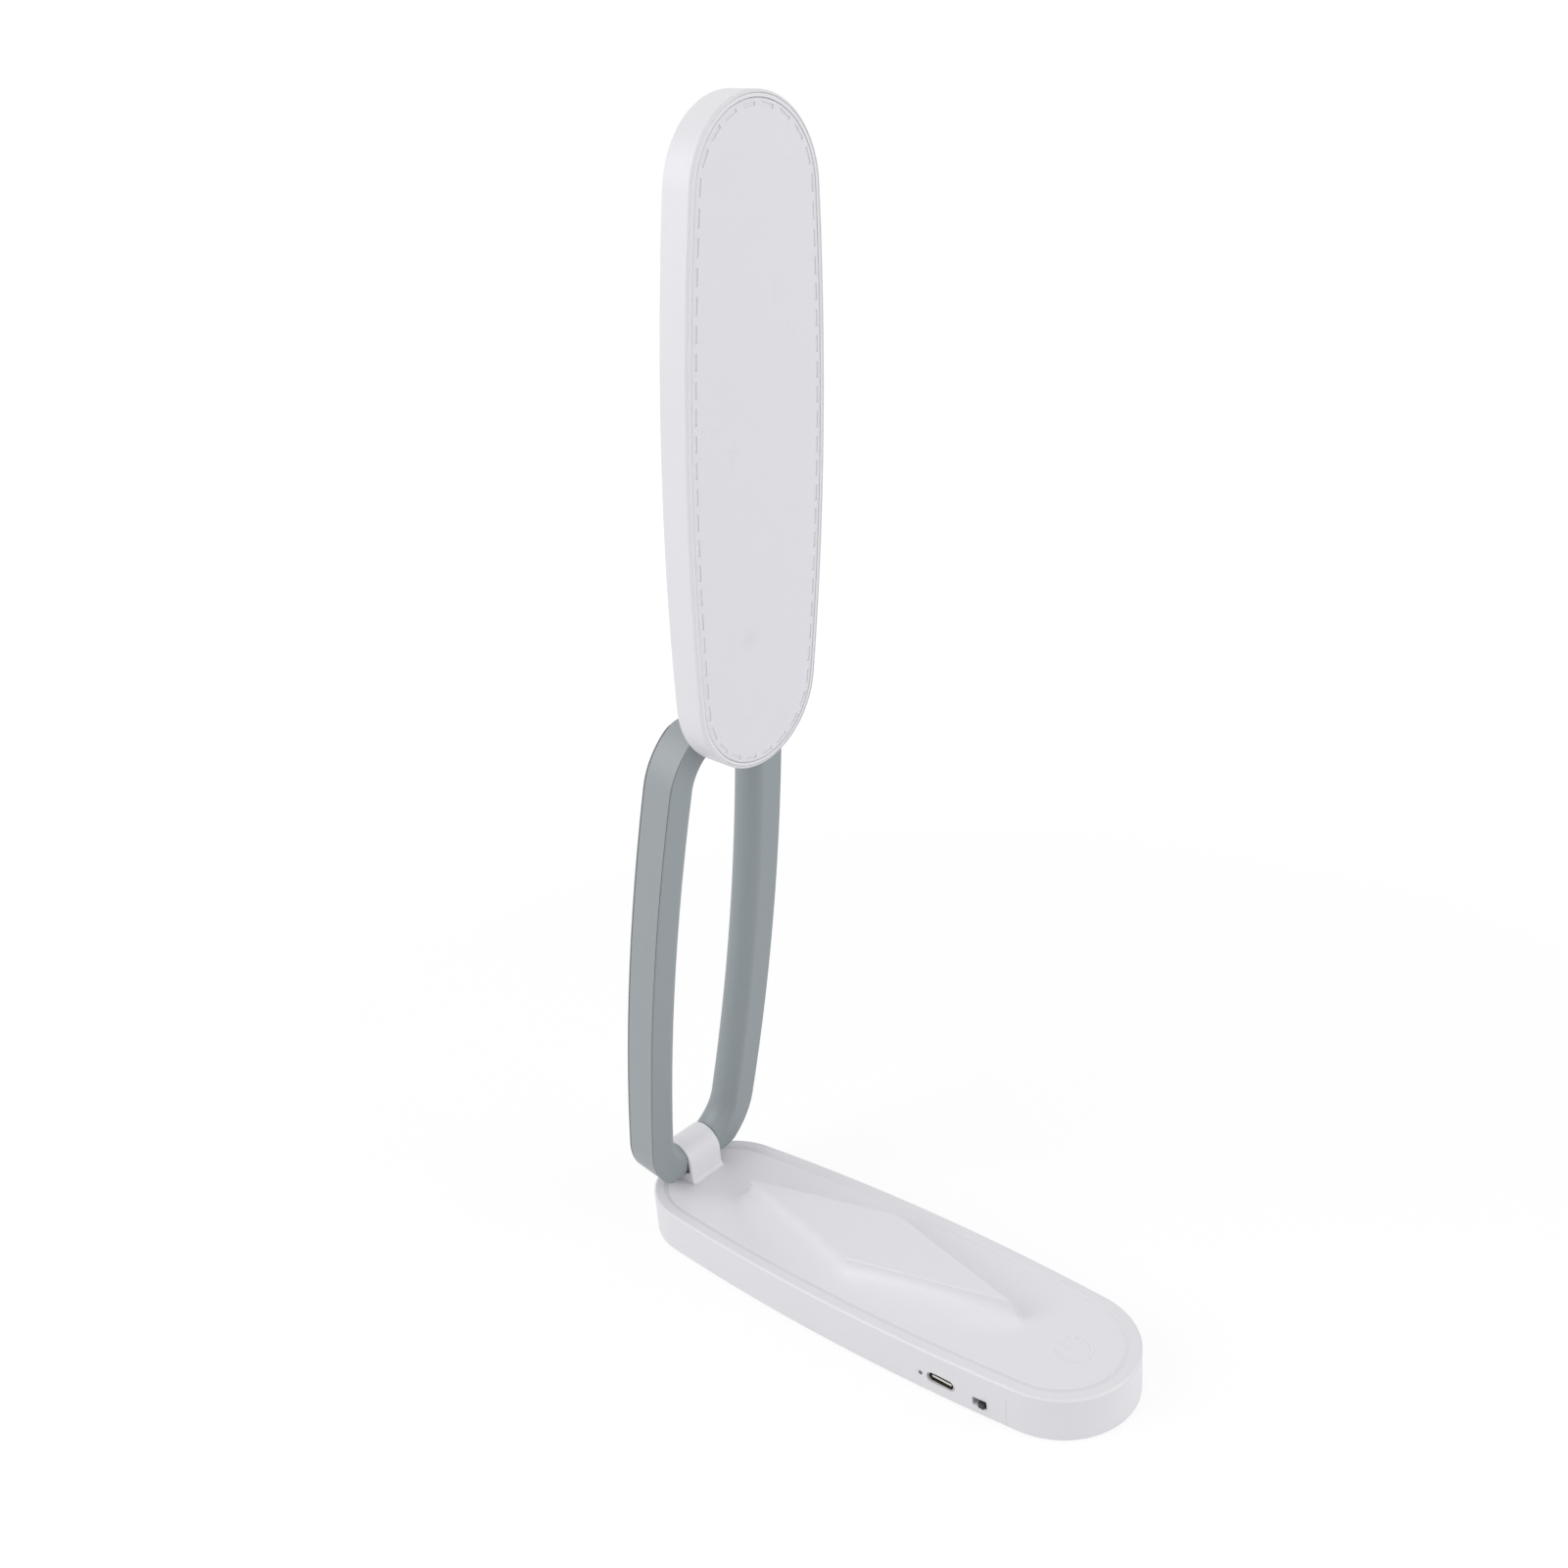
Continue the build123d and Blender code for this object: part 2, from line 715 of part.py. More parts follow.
def make_arm_side_bands():
    """Two cover strips that close the wire duct on the loop's outer face."""
    half = arm_half - band_lip - band_side_gap
    bands = (arm_center * ring(0, band_thickness, -half, half)) & arm_envelope()
    for zone in neck_zones(band_end):
        bands -= zone
    return arm_plane.location * bands


def make_arm_lead():
    """Flat two-core lead from the base to the head, along one side of the loop."""
    return arm_plane.location * lead_strip(0)


# ---------------------------------------------------------------- head
# Drawn flat about the upper hinge axis: x up the head, z to its lit face.
upper_hinge = arm_plane.location * Pos(hinge_spacing, 0, 0)
head_plane = Plane(
    origin=upper_hinge.position,
    x_dir=(math.sin(math.radians(head_lean)), 0, math.cos(math.radians(head_lean))),
    z_dir=(math.cos(math.radians(head_lean)), 0, -math.sin(math.radians(head_lean))),
)
head_center = Pos(body_length / 2 - head_tail, 0, 0)
head_hinge = Rot(180, 0, 0)


def on_head(shape):
    """Place a shape drawn about the upper hinge axis."""
    return head_plane.location * shape


def head_block():
    """Outer form of the head, before it is hollowed."""
    body = slab(0, head_offset, head_front)
    body = chamfer(edges_at(body, Axis.Z, head_offset), head_back_chamfer)
    return head_center * chamfer(edges_at(body, Axis.Z, head_front), head_front_chamfer)


def make_head_back_shell():
    """Tray that carries the light, with the hinge cradle on its back."""
    floor = head_offset + head_wall
    boss_top = floor + clip_boss_drop
    shell = head_block()
    shell -= head_center * slab(bezel_inset, bezel_seat, head_front + 1)
    shell -= head_center * slab(head_wall, floor, bezel_seat)
    shell += post(clip_boss_radius, (clip_screw_x, 0), (floor, boss_top))
    shell += head_hinge * cradle(head_offset)
    shell -= post(lead_hole_radius, (0, 0), (0, floor))
    shell -= [head_hinge * cut for cut in hinge_floor_cuts(head_offset, head_wall)]
    shell -= post(screw_radius, (clip_screw_x, 0), (boss_top - clip_screw_length, boss_top + 1))
    return on_head(shell)


def make_head_front_bezel():
    """Slim frame round the diffuser, with a flange behind its edge."""
    face_inner = bezel_inset + bezel_width
    bezel = ring(bezel_inset + seat_gap, face_inner, bezel_seat, head_front - bezel_sink)
    flange_top = bezel_seat + bezel_flange_thickness
    bezel += ring(bezel_inset + seat_gap, face_inner + bezel_flange, bezel_seat, flange_top)
    return on_head(head_center * bezel)


def led_places():
    """Even places along the outline for the chips, as locations with x along it."""
    loop = Wire(oval_edges(led_inset))
    count = round(loop.length / led_pitch)
    places = []
    for i in range(count):
        spot = loop @ (i / count)
        heading = loop % (i / count)
        places.append(Pos(spot.X, spot.Y, 0) * Rot(0, 0, math.degrees(math.atan2(heading.Y, heading.X))))
    return places


def make_diffuser_panel():
    """Milk-white panel with a shallow window over each chip."""
    front = head_front - diffuser_sink
    panel = slab(bezel_inset + bezel_width + face_gap, front - diffuser_thickness, front)
    window = Pos(0, 0, front) * Box(led_length, led_width, 2 * window_depth)
    return on_head(head_center * (panel - [place * window for place in led_places()]))


def make_light_guide():
    """Clear plate that spreads the light of the chips at its edge."""
    return on_head(head_center * slab(guide_inset, guide_back, guide_front))


def make_reflector_sheet():
    """White sheet behind the light guide."""
    return on_head(head_center * slab(guide_inset, guide_back - reflector_thickness, guide_back))


def make_led_strip():
    """Flexible circuit that stands round the light guide."""
    strip_low = head_offset + head_wall
    return on_head(head_center * ring(strip_inset, strip_inset + led_strip_thickness, strip_low, bezel_seat))


def make_led_chips():
    """Side-lit chips along the strip, all round the head."""
    chip = Pos(0, 0, (guide_back + bezel_seat) / 2) * Box(led_length, led_width, led_height)
    return on_head(head_center * Compound([place * chip for place in led_places()]))


def make_guide_holder():
    """Ribbed tray between the shell's floor and the light guide."""
    low = head_offset + head_wall
    high = guide_back - reflector_thickness
    tray = ring(guide_inset, guide_inset + holder_wall, low, high)
    for rib in range(holder_rib_count):
        x = (rib - (holder_rib_count - 1) / 2) * holder_rib_pitch
        reach = wall_y(x, guide_inset + holder_wall / 2)
        tray += block((x - holder_rib / 2, x + holder_rib / 2), (-reach, reach), (low, high))
    keep_out = block((-head_tail, clip_screw_x * 2), (-clip_width, clip_width), (low - 1, high + 1))
    return on_head(head_center * tray - keep_out)


def make_head_hinge_saddle():
    """White clip over the arm's upper neck, on the head's back."""
    clip = head_hinge * saddle(head_offset, head_offset + head_back_chamfer, head_wall)
    clip &= head_center * slab(saddle_setback, -saddle_outer - 1, head_front)
    half = saddle_width / 2
    back = block((-saddle_outer, -saddle_inner), (-half, half), (head_offset, head_front)) & head_block()
    return on_head(clip - back)


def make_head_friction_clip():
    """Spring steel strip inside the upper saddle."""
    return on_head(head_hinge * friction_clip(head_offset, head_offset, head_wall + clip_boss_drop))


def make_head_clip_screw():
    """Screw into the boss inside the head."""
    return on_head(head_hinge * clip_screw(head_offset, head_wall + clip_boss_drop))


# ---------------------------------------------------------------- write the parts
parts = {
    "base_shell": make_base_shell,
    "base_top_panel": make_base_top_panel,
    "base_bottom_cover": make_base_bottom_cover,
    "base_screws": make_base_screws,
    "rubber_feet": make_rubber_feet,
    "base_hinge_saddle": make_base_hinge_saddle,
    "base_friction_clip": make_base_friction_clip,
    "base_clip_screw": make_base_clip_screw,
    "touch_mark": make_touch_mark,
    "touch_sensor_pad": make_touch_sensor_pad,
    "battery_pack": make_battery_pack,
    "ballast_plate": make_ballast_plate,
    "control_board": make_control_board,
    "charge_light_pipe": make_charge_light_pipe,
    "usb_c_socket": make_usb_c_socket,
    "slide_switch_body": make_slide_switch_body,
    "slide_switch_knob": make_slide_switch_knob,
    "arm_frame": make_arm_frame,
    "arm_side_bands": make_arm_side_bands,
    "arm_lead": make_arm_lead,
    "head_back_shell": make_head_back_shell,
    "head_front_bezel": make_head_front_bezel,
    "diffuser_panel": make_diffuser_panel,
    "light_guide": make_light_guide,
    "reflector_sheet": make_reflector_sheet,
    "guide_holder": make_guide_holder,
    "led_strip": make_led_strip,
    "led_chips": make_led_chips,
    "head_hinge_saddle": make_head_hinge_saddle,
    "head_friction_clip": make_head_friction_clip,
    "head_clip_screw": make_head_clip_screw,
}

os.makedirs("parts", exist_ok=True)
for node, make in parts.items():
    export_step(make(), f"parts/{node}.step")
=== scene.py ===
import json
import math

import bmesh
import bpy
from mathutils import Matrix, Vector


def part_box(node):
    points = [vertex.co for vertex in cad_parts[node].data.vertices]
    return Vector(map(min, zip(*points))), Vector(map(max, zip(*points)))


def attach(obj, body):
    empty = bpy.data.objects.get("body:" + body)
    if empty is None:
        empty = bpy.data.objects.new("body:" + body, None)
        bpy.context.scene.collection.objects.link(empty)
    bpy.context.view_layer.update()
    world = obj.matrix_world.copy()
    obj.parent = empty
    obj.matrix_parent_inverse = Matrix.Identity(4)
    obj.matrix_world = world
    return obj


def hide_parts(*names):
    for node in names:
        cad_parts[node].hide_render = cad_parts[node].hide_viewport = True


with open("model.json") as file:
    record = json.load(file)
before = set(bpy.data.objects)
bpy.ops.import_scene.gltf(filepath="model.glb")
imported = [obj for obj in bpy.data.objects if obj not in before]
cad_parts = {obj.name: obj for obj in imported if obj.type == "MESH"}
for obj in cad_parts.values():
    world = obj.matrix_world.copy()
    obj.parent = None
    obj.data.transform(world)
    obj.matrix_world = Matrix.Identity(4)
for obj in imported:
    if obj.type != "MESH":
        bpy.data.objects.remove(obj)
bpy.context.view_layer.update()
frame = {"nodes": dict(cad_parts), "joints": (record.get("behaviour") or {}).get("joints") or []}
nodes = frame["nodes"]


# ---------------------------------------------------------------- camera
# A camera at the photograph's height, to the lamp's front right, looking down
# on the base. Its place, lens and slight roll are metres, millimetres and radians.
camera_place = Vector((0.25233, -0.29818, 0.32077))
camera_yaw = 2.316641
camera_pitch = 0.368058
camera_roll = -0.078798
camera_lens = 35.512
camera_sensor = 36
camera_near = 0.01

heading = Vector((
    math.cos(camera_pitch) * math.cos(camera_yaw),
    math.cos(camera_pitch) * math.sin(camera_yaw),
    -math.sin(camera_pitch),
))
level = Vector((math.sin(camera_yaw), -math.cos(camera_yaw), 0))
upright = level.cross(heading)
right = math.cos(camera_roll) * level + math.sin(camera_roll) * upright
up = -math.sin(camera_roll) * level + math.cos(camera_roll) * upright
camera_data = bpy.data.cameras.new("photo_camera")
camera_data.lens = camera_lens
camera_data.sensor_width = camera_sensor
camera_data.clip_start = camera_near
camera = bpy.data.objects.new("photo_camera", camera_data)
bpy.context.scene.collection.objects.link(camera)
camera_turn = Matrix((right, up, -heading)).transposed().to_4x4()
camera.matrix_world = Matrix.Translation(camera_place) @ camera_turn
bpy.context.scene.camera = camera
bpy.context.scene.view_settings.view_transform = "Standard"


# ---------------------------------------------------------------- studio
# A white tabletop in a light tent: the walls give most of the light, and soft boxes
# to the left, to the right and over the lamp give the rest. The table reads as white.
class Wire:
    """A node's output socket. Plain operators on it add Math nodes."""

    def __init__(self, tree, socket=None):
        self.tree = tree
        self.socket = socket

    def node(self, kind, settings=None, inputs=None, output=0):
        """Add a node: its settings first, then the values or links of its sockets."""
        made = self.tree.nodes.new(kind)
        for name, value in (settings or {}).items():
            setattr(made, name, value)
        for name, value in (inputs or {}).items():
            if isinstance(value, Wire):
                self.tree.links.new(value.socket, made.inputs[name])
            else:
                made.inputs[name].default_value = value
        return Wire(self.tree, made.outputs[output] if made.outputs else None)

    def maths(self, operation, *values):
        return self.node("ShaderNodeMath", {"operation": operation}, dict(enumerate(values)))

    def __add__(self, other):
        return self.maths("ADD", self, other)

    def __radd__(self, other):
        return self.maths("ADD", other, self)

    def __sub__(self, other):
        return self.maths("SUBTRACT", self, other)

    def __rsub__(self, other):
        return self.maths("SUBTRACT", other, self)

    def __mul__(self, other):
        return self.maths("MULTIPLY", self, other)

    def __rmul__(self, other):
        return self.maths("MULTIPLY", other, self)

    def __lt__(self, other):
        return self.maths("LESS_THAN", self, other)


def seen_directly(pen):
    """1 where a ray comes from the camera, a mirror or glass, 0 for the light that falls on the lamp."""
    path = pen.node("ShaderNodeLightPath")
    outputs = path.socket.node.outputs
    camera_ray = Wire(pen.tree, outputs["Is Camera Ray"])
    glossy = Wire(pen.tree, outputs["Is Glossy Ray"])
    clear = Wire(pen.tree, outputs["Is Transmission Ray"])
    return pen.maths("MAXIMUM", camera_ray, pen.maths("MAXIMUM", glossy, clear))


def blank_finish(name):
    """A material with no nodes yet, and the pen that adds them."""
    finish = bpy.data.materials.new(name)
    finish.use_nodes = True
    finish.node_tree.nodes.clear()
    return finish, Wire(finish.node_tree)


world_light = 0.58
world = bpy.data.worlds.new("light_tent")
world.use_nodes = True
world.node_tree.nodes.clear()
bpy.context.scene.world = world
tent = Wire(world.node_tree)
tent_strength = tent.node(
    "ShaderNodeMix", {"data_type": "FLOAT"}, {0: seen_directly(tent), 2: world_light, 3: 1.0}
)
tent_walls = tent.node("ShaderNodeBackground", inputs={"Color": (1, 1, 1, 1), "Strength": tent_strength})
tent.node("ShaderNodeOutputWorld", inputs={"Surface": tent_walls})

# The table glows a little less round the lamp, so that the lamp's shadow shows
table_half = 6.0
table_white = (0.86, 0.86, 0.87, 1)
table_glow = 1.06
shadow_glow = 0.8
shadow_reach = 0.6
table_mesh = bmesh.new()
bmesh.ops.create_grid(table_mesh, x_segments=1, y_segments=1, size=table_half)
table_data = bpy.data.meshes.new("tabletop")
table_mesh.to_mesh(table_data)
table_mesh.free()
table = bpy.data.objects.new("tabletop", table_data)
bpy.context.scene.collection.objects.link(table)
table_finish, sheet = blank_finish("white_tabletop")
paper = sheet.node("ShaderNodeBsdfDiffuse", inputs={"Color": table_white})
glow = sheet.node("ShaderNodeEmission", inputs={"Color": (1, 1, 1, 1), "Strength": table_glow})
table_place = sheet.node("ShaderNodeTexCoord", output="Object")
table_reach = sheet.node("ShaderNodeVectorMath", {"operation": "LENGTH"}, {0: table_place}, output="Value")
far_off = sheet.node(
    "ShaderNodeMapRange", {"interpolation_type": "SMOOTHSTEP"},
    {"Value": table_reach, "From Min": shadow_reach / 2, "From Max": shadow_reach},
)
glow_share = seen_directly(sheet) * (shadow_glow + far_off * (1 - shadow_glow))
table_look = sheet.node("ShaderNodeMixShader", inputs={0: glow_share, 1: paper, 2: glow})
sheet.node("ShaderNodeOutputMaterial", inputs={"Surface": table_look})
table_data.materials.append(table_finish)

# name, place, point it faces, side in metres, watts
for name, place, target, side, power in (
    ("left_softbox", (-0.6, -1.0, 0.85), (0, 0, 0.10), 0.9, 6.8),
    ("right_softbox", (1.15, 0.35, 0.55), (0, 0, 0.15), 0.8, 4.6),
    ("top_softbox", (-0.1, 0.1, 1.3), (0, 0, 0.1), 0.8, 0.6),
):
    lamp_data = bpy.data.lights.new(name, "AREA")
    lamp_data.shape = "SQUARE"
    lamp_data.size = side
    lamp_data.energy = power
    lamp = bpy.data.objects.new(name, lamp_data)
    bpy.context.scene.collection.objects.link(lamp)
    lamp.location = place
    lamp.rotation_mode = "QUATERNION"
    lamp.rotation_quaternion = (Vector(target) - Vector(place)).to_track_quat("-Z", "Y")


# ---------------------------------------------------------------- white mouldings
# Base shell, bottom cover, both hinge saddles and the head's shell and bezel are
# injection moulded in one white ABS, with a fine spark-eroded grain from the mould.

# The painted shade beside a joint, where a piece meets its neighbour in a narrow gap, is as
# wide as the first value below, and starts where the cosine between the true and the softened
# normal falls under the second. Light spreads by milk_spread under a milky skin, and the two
# sheens are how far the gloss varies.
gap_shade_width = 0.00018
gap_shade_onset = 0.98
milk_spread = 0.0009
flow_sheen = 0.12
pore_sheen = 0.08


def dress(node, finish):
    """Give a node of the frame its finish."""
    mesh = nodes[node].data
    mesh.materials.clear()
    mesh.materials.append(finish)


def moulded(
    name, color, roughness, grain, mottle=0.02, coat=0.0, edge=0.0003, joint=0.0, milk=0.0, marks_and_shade=None
):
    """Moulded plastic: a faint mottle, the mould's grain as a bump, edges softened by edge metres.

    A joint above 0 paints shade on the last tenths of a millimetre beside the piece's edges,
    where it meets its neighbour in a narrow gap. Milk is the share of light that spreads under the skin.
    The last argument gives how dark and how deep the piece's own lines and its painted shade are.
    """
    finish, pen = blank_finish(name)
    place = pen.node("ShaderNodeTexCoord", output="Object")
    flow = pen.node(
        "ShaderNodeTexNoise", inputs={"Vector": place, "Scale": 55.0, "Detail": 3.0, "Roughness": 0.55}
    )
    pores = pen.node(
        "ShaderNodeTexNoise", inputs={"Vector": place, "Scale": 2900.0, "Detail": 2.0, "Roughness": 0.6}
    )
    shade = 1.0 + (flow - 0.5) * mottle + (pores - 0.5) * mottle
    height = pores * grain
    if joint:
        # painted shade: the colour darkens by the edges, where the softened normal turns from the true one
        turned = pen.node("ShaderNodeBevel", {"samples": 8}, {"Radius": gap_shade_width})
        face_way = pen.node("ShaderNodeNewGeometry", output="Normal")
        alike = pen.node(
            "ShaderNodeVectorMath", {"operation": "DOT_PRODUCT"}, {0: turned, 1: face_way}, output="Value"
        )
        shade = shade * (1.0 - pen.maths("MAXIMUM", gap_shade_onset - alike, 0.0) * joint)
    if marks_and_shade:
        darkness, depth = marks_and_shade(pen, place)
        shade = shade * (1.0 - darkness)
        height = height - depth
    tint = pen.node("ShaderNodeCombineColor", inputs={0: shade, 1: shade, 2: shade})
    skin = pen.node(
        "ShaderNodeMix", {"data_type": "RGBA", "blend_type": "MULTIPLY"},
        {0: 1.0, 6: (*color, 1), 7: tint}, output=2,
    )
    rounded = pen.node("ShaderNodeBevel", {"samples": 4}, {"Radius": edge})
    relief = pen.node(
        "ShaderNodeBump", inputs={"Height": height, "Strength": 1.0, "Distance": 1.0, "Normal": rounded}
    )
    sheen = roughness + (flow - 0.5) * flow_sheen + (pores - 0.5) * pore_sheen
    look = pen.node(
        "ShaderNodeBsdfPrincipled",
        inputs={
            "Base Color": skin, "Roughness": sheen, "Normal": relief,
            "Coat Weight": coat, "Coat Roughness": 0.25, "IOR": 1.53,
            "Subsurface Weight": milk, "Subsurface Radius": (1, 1, 1), "Subsurface Scale": milk_spread,
        },
    )
    pen.node("ShaderNodeOutputMaterial", inputs={"Surface": look})
    return finish


# Witness line of the mould's side insert, in the wall beside the switch
seam_x = 0.0628
seam_top = 0.0095
seam_half = 0.00009
seam_depth = 0.00006
seam_darkness = 0.12


def insert_seam(pen, place):
    """The hairline that the mould's insert leaves on the socket side: how dark and how deep it is."""
    axes = pen.node("ShaderNodeSeparateXYZ", inputs={"Vector": place})
    x, y, z = (Wire(pen.tree, socket) for socket in axes.socket.node.outputs)
    near = pen.maths("ABSOLUTE", x - seam_x) < seam_half
    line = near * (y < 0) * (z < seam_top)
    return line * seam_darkness, line * seam_depth


abs_white = (0.810, 0.803, 0.836)
shell_finish = moulded("white_abs_shell", abs_white, roughness=0.42, grain=0.000004, marks_and_shade=insert_seam)
white_finish = moulded("white_abs", abs_white, roughness=0.40, grain=0.000004)
dress("base_shell", shell_finish)
for node in ("base_bottom_cover", "head_back_shell"):
    dress(node, white_finish)
clip_finish = moulded("white_abs_clip", abs_white, roughness=0.40, grain=0.000004, edge=0.00008)
for node in ("base_hinge_saddle", "head_hinge_saddle"):
    dress(node, clip_finish)
# The bezel gets painted shade along its edges, in the narrow gaps to its neighbours
frame_finish = moulded(
    "white_abs_frame", abs_white, roughness=0.40, grain=0.000004, edge=0.0001, joint=2.6
)
dress("head_front_bezel", frame_finish)


# ---------------------------------------------------------------- top panel and power sign
# The recessed panel with the diamond plateau is a separate white moulding with a
# softer, satin skin. The power sign is a fine raised line on it, polished in the mould.
panel_white = (0.825, 0.817, 0.853)
panel_finish = moulded("white_satin_panel", panel_white, roughness=0.38, grain=0.000003)
sign_white = (0.850, 0.843, 0.876)
sign_finish = moulded("polished_white_sign", sign_white, roughness=0.24, grain=0.000001, edge=0.0001)
dress("base_top_panel", panel_finish)
dress("touch_mark", sign_finish)


# ---------------------------------------------------------------- cove round the plateau
# The plateau runs down into the panel in one broad hollow sweep, steep under its edge
# and flat where it meets the panel. It is part of the panel's moulding, in its white.
plateau_middle = -0.0010
plateau_half = (0.05056, 0.01306)
cove_reach = (0.0048, 0.0089)
cove_rise = 0.0063
cove_lift = 0.00002
cove_rings = 20
cove_points = 192
foot_fullness = 1.9
same_place = 0.000001
crease_angle = math.radians(32)
sweep_finish = moulded("white_satin_sweep", panel_white, roughness=0.38, grain=0.000003, edge=0.0)


def add_piece(name, mesh, finish, body, node=None):
    """Make a mesh a piece that rides on a body, and stands for a node of the frame if one is named."""
    bmesh.ops.remove_doubles(mesh, verts=mesh.verts, dist=same_place)
    bmesh.ops.recalc_face_normals(mesh, faces=mesh.faces)
    for face in mesh.faces:
        face.smooth = True
    data = bpy.data.meshes.new(name)
    mesh.to_mesh(data)
    mesh.free()
    data.set_sharp_from_angle(angle=crease_angle)
    data.materials.append(finish)
    piece = bpy.data.objects.new(name, data)
    bpy.context.scene.collection.objects.link(piece)
    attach(piece, body)
    if node:
        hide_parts(node)


def cove_outline(turn, spread):
    """A point of the cove's outline: a rhombus at the plateau, 0, and nearly an oval at the foot, 1."""
    power = 2 / (1 + (foot_fullness - 1) * spread)
    half_length, half_width = (half + reach * spread for half, reach in zip(plateau_half, cove_reach))
    across, along = math.sin(turn), math.cos(turn)
    x = math.copysign(abs(along) ** power, along) * half_length
    y = math.copysign(abs(across) ** power, across) * half_width
    return plateau_middle + x, y


panel_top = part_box("touch_mark")[0][2]
cove = bmesh.new()
bmesh.ops.create_circle(cove, cap_ends=False, segments=cove_points, radius=1)
ring_edges = list(cove.edges)
ring_corners = {corner: math.atan2(corner.co.y, corner.co.x) for corner in cove.verts}
for ring in range(cove_rings + 1):
    angle = math.pi / 2 * (1 - ring / cove_rings)
    spread = 1 - math.sin(angle)
    height = panel_top + cove_lift * (1 - spread) + cove_rise * (1 - math.cos(angle))
    for corner, turn in ring_corners.items():
        corner.co = (*cove_outline(turn, spread), height)
    # each corner of the next ring keeps the turn of the corner that it is drawn from
    if ring < cove_rings:
        drawn = bmesh.ops.extrude_edge_only(cove, edges=ring_edges)["geom"]
        ring_edges = [item for item in drawn if isinstance(item, bmesh.types.BMEdge)]
        ring_edges = [edge for edge in ring_edges if edge.is_boundary]
        fresh = {corner for edge in ring_edges for corner in edge.verts}
        ring_corners = {
            edge.other_vert(corner): turn
            for corner, turn in ring_corners.items()
            for edge in corner.link_edges
            if edge.other_vert(corner) in fresh
        }
bmesh.ops.holes_fill(cove, edges=cove.edges)
add_piece("plateau_cove", cove, sweep_finish, "base")


# ---------------------------------------------------------------- weld round the panel
# The panel is welded to the shell's ledge all round. The melt fills the joint and
# leaves a soft hollow between the rim and the panel, with no open gap.
outline_half = (0.0875, 0.02665)
outline_end_radius = 0.0237
# inset from the outline, height over the panel
weld_profile = [
    (0.00439, 0.00012), (0.00445, 0.00008), (0.00456, 0.00003), (0.00480, 0.000005),
    (0.00480, -0.0003), (0.00439, -0.0003),
]
weld_end_points = 64
weld_side_points = 40

outline_end_x = outline_half[0] - outline_end_radius
outline_bow = outline_half[1] - outline_end_radius
outline_side_radius = (outline_end_x**2 + outline_half[1]**2 - outline_end_radius**2) / (2 * outline_bow)
outline_side_y = outline_half[1] - outline_side_radius
outline_side_turn = math.atan2(outline_end_x, -outline_side_y)
outline_arcs = [
    ((outline_end_x, 0), outline_end_radius, outline_side_turn - math.pi / 2, weld_end_points),
    ((0, outline_side_y), outline_side_radius, math.pi / 2 - outline_side_turn, weld_side_points),
    ((-outline_end_x, 0), outline_end_radius, math.pi / 2 + outline_side_turn, weld_end_points),
    ((0, -outline_side_y), outline_side_radius, math.pi * 3 / 2 - outline_side_turn, weld_side_points),
]


def outline_points(inset):
    """Even points along the base's outline, drawn in by inset."""
    points = []
    for index, (center, radius, start, count) in enumerate(outline_arcs):
        sweep = 2 * outline_side_turn if index % 2 else math.pi - 2 * outline_side_turn
        for step in range(count):
            turn = start + sweep * step / count
            x = center[0] + (radius - inset) * math.cos(turn)
            y = center[1] + (radius - inset) * math.sin(turn)
            points.append((x, y))
    return points


weld = bmesh.new()
rows = []
for inset, rise in weld_profile:
    row = [weld.verts.new((x, y, panel_top + rise)) for x, y in outline_points(inset)]
    loop = [weld.edges.new((row[index - 1], row[index])) for index in range(len(row))]
    if rows:
        bmesh.ops.bridge_loops(weld, edges=rows[-1] + loop)
    rows.append(loop)
bmesh.ops.bridge_loops(weld, edges=rows[-1] + rows[0])
add_piece("panel_weld", weld, sweep_finish, "base")


# ---------------------------------------------------------------- cheeks of the lower hinge
# A low cheek at each side of the neck closes the open ends of the saddle. It is moulded
# on the panel, hollowed clear of the neck, and steps over the shell's rim at the back.
fold_joint = next(joint for joint in frame["joints"] if joint["name"] == "arm_fold")
hinge_place = Vector(fold_joint["pos_m"])
cheek_hollow = 0.0055
cheek_rise = 0.0034
cheek_reach = 0.0059
cheek_sides = (0.00640, 0.00694)
cheek_steps = 24
rim_rise = 0.0005
rim_slope = (-0.0041, -0.0028)


def push_faces(mesh, faces, way):
    """Extrude faces and move them by way."""
    pushed = bmesh.ops.extrude_face_region(mesh, geom=faces)["geom"]
    corners = [item for item in pushed if isinstance(item, bmesh.types.BMVert)]
    bmesh.ops.translate(mesh, verts=corners, vec=way)


